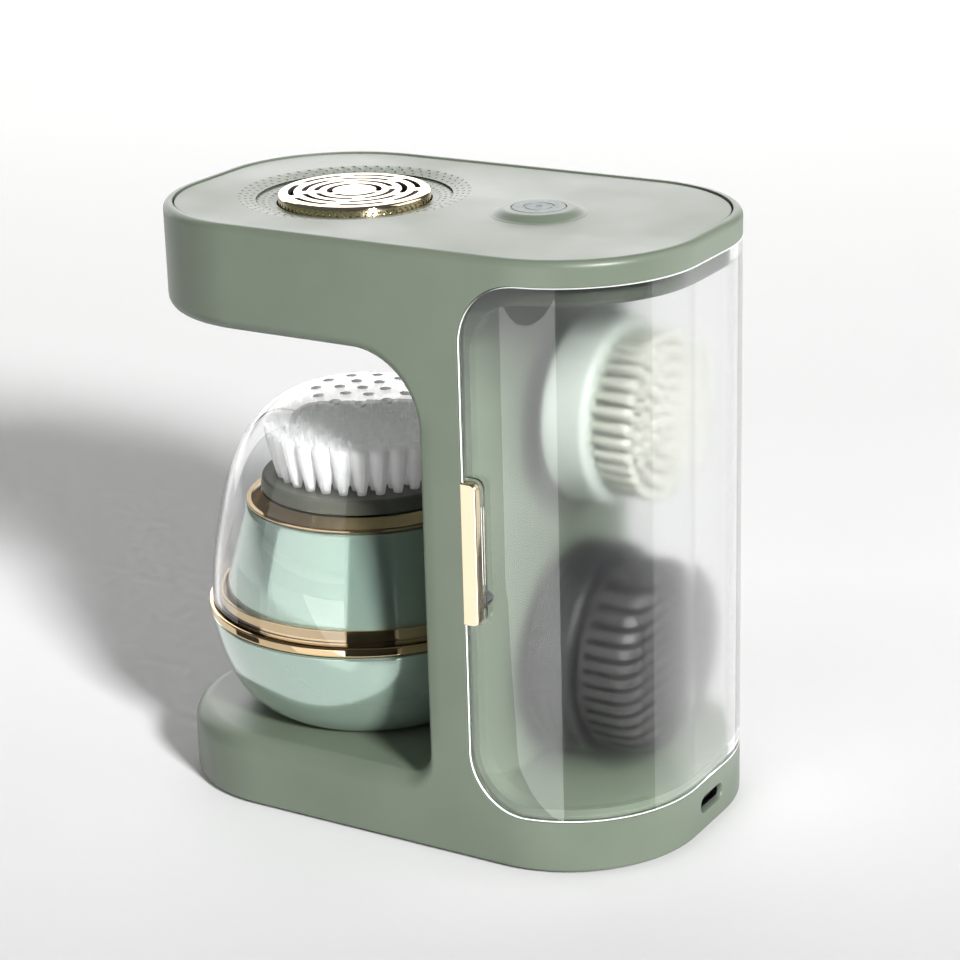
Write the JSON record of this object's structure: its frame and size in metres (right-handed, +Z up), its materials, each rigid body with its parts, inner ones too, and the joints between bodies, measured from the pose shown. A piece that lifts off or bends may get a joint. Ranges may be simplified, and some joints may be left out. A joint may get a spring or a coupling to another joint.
{
  "type": "facial cleansing brush with drying dock",
  "caption": "Egg-shaped electric facial cleansing brush under a clear vented dome, standing in a C-shaped drying and charging dock with a curved frosted door over spare brush heads.",
  "frame": {"origin": "centre of the dock's footprint, on the plane of the table under its feet", "axes": "+X towards the door end, -Y towards the front where the brush is taken out, +Z up"},
  "size_m": [0.13, 0.0817, 0.1401],
  "materials": {
    "sage_plastic": "sage green moulded plastic with a fine satin texture",
    "mint_pearl": "glossy pearl mint paint on plastic",
    "gold_trim": "polished pale gold plating",
    "clear_plastic": "clear polished plastic",
    "frosted_plastic": "glossy outer face over a finely frosted inner face",
    "white_bristle": "white nylon filament tufts",
    "charcoal_plastic": "charcoal silicone and filament",
    "gear_nylon": "natural moulded nylon",
    "filter_foam": "open-cell filter foam",
    "steel": "plain steel",
    "rubber": "matte black rubber",
    "circuit_board": "green solder mask",
    "copper": "wound enamelled copper",
    "dark_plastic": "dark moulded plastic"
  },
  "bodies": {
    "dock": {"dock_housing": "sage_plastic", "top_panel": "sage_plastic", "base_plate": "sage_plastic", "foot_front_left": "rubber", "foot_front_right": "rubber", "foot_rear_left": "rubber", "foot_rear_right": "rubber", "grip_pad": "rubber", "screw_front_left": "steel", "screw_front_right": "steel", "screw_rear_left": "steel", "screw_rear_right": "steel", "air_outlet_grille": "sage_plastic", "fan_frame": "dark_plastic", "fan_motor": "copper", "uv_lamp_board": "circuit_board", "uv_lens": "clear_plastic", "control_board": "circuit_board", "button_switch": "dark_plastic", "charging_board": "circuit_board", "charging_coil": "copper", "usb_socket": "steel", "wiring_cable": "dark_plastic", "head_post_upper": "steel", "head_post_lower": "steel", "hinge_pin_upper": "steel", "hinge_pin_lower": "steel", "jamb_magnet": "steel"},
    "door": {"door_panel": "frosted_plastic", "door_handle": "gold_trim", "door_magnet": "steel"},
    "dock_button": {"top_button": "frosted_plastic"},
    "filter": {"filter_cap": "gold_trim", "filter_pad": "filter_foam"},
    "fan": {"fan_rotor": "dark_plastic"},
    "brush": {"lower_shell": "mint_pearl", "mid_band": "gold_trim", "upper_shell": "mint_pearl", "top_ring": "gold_trim", "dome_seat": "gold_trim", "motor_chassis": "dark_plastic", "drive_motor": "steel", "battery": "dark_plastic", "brush_board": "circuit_board", "receiving_coil": "copper", "shaft_bearing": "steel", "shaft_seal": "rubber"},
    "brush_head": {"output_gear": "gear_nylon", "output_shaft": "steel", "head_base": "sage_plastic", "bristles": "white_bristle"},
    "pinion": {"motor_pinion": "gear_nylon"},
    "dome": {"dome_cover": "clear_plastic"},
    "brush_button": {"power_button": "gold_trim"},
    "spare_upper": {"spare_head_upper_base": "mint_pearl", "spare_head_upper_bristles": "white_bristle"},
    "spare_lower": {"spare_head_lower_base": "charcoal_plastic", "spare_head_lower_bristles": "charcoal_plastic"}
  },
  "joints": [
    {"name": "door_hinge", "type": "hinge", "parent": "dock", "child": "door", "pos_m": [0.0272, 0.037, 0.073], "axis": [0, 0, 1], "range_deg": [0, 95]},
    {"name": "dock_button_press", "type": "slide", "parent": "dock", "child": "dock_button", "axis": [0, 0, -1], "range_m": [0, 0.0005], "stiffness_N_per_m": 400, "springref_m": -0.0004},
    {"name": "filter_twist", "type": "hinge", "parent": "dock", "child": "filter", "pos_m": [-0.0247, 0, 0.137], "axis": [0, 0, 1], "range_deg": [0, 30]},
    {"name": "fan_spin", "type": "hinge", "parent": "dock", "child": "fan", "pos_m": [-0.0247, 0, 0.124], "axis": [0, 0, 1], "continuous": true},
    {"name": "brush_slide", "type": "slide", "parent": "dock", "child": "brush", "axis": [0, -1, 0], "range_m": [0, 0.09]},
    {"name": "head_spin", "type": "hinge", "parent": "brush", "child": "brush_head", "pos_m": [-0.0247, 0, 0.07], "axis": [0, 0, 1], "continuous": true},
    {"name": "pinion_spin", "type": "hinge", "parent": "brush", "child": "pinion", "pos_m": [-0.0147, 0, 0.0638], "axis": [0, 0, 1], "continuous": true},
    {"name": "dome_lift", "type": "slide", "parent": "brush", "child": "dome", "axis": [0, 0, 1], "range_m": [0, 0.02]},
    {"name": "brush_button_press", "type": "slide", "parent": "brush", "child": "brush_button", "axis": [0, -0.9673, -0.2538], "range_m": [0, 0.0006], "stiffness_N_per_m": 400, "springref_m": -0.0004},
    {"name": "spare_upper_slide", "type": "slide", "parent": "dock", "child": "spare_upper", "axis": [1, 0, 0], "range_m": [0, 0.004]},
    {"name": "spare_lower_slide", "type": "slide", "parent": "dock", "child": "spare_lower", "axis": [1, 0, 0], "range_m": [0, 0.004]}
  ],
  "couplings": [
    {"joint": "pinion_spin", "follows": "head_spin", "ratio": -3}
  ]
}
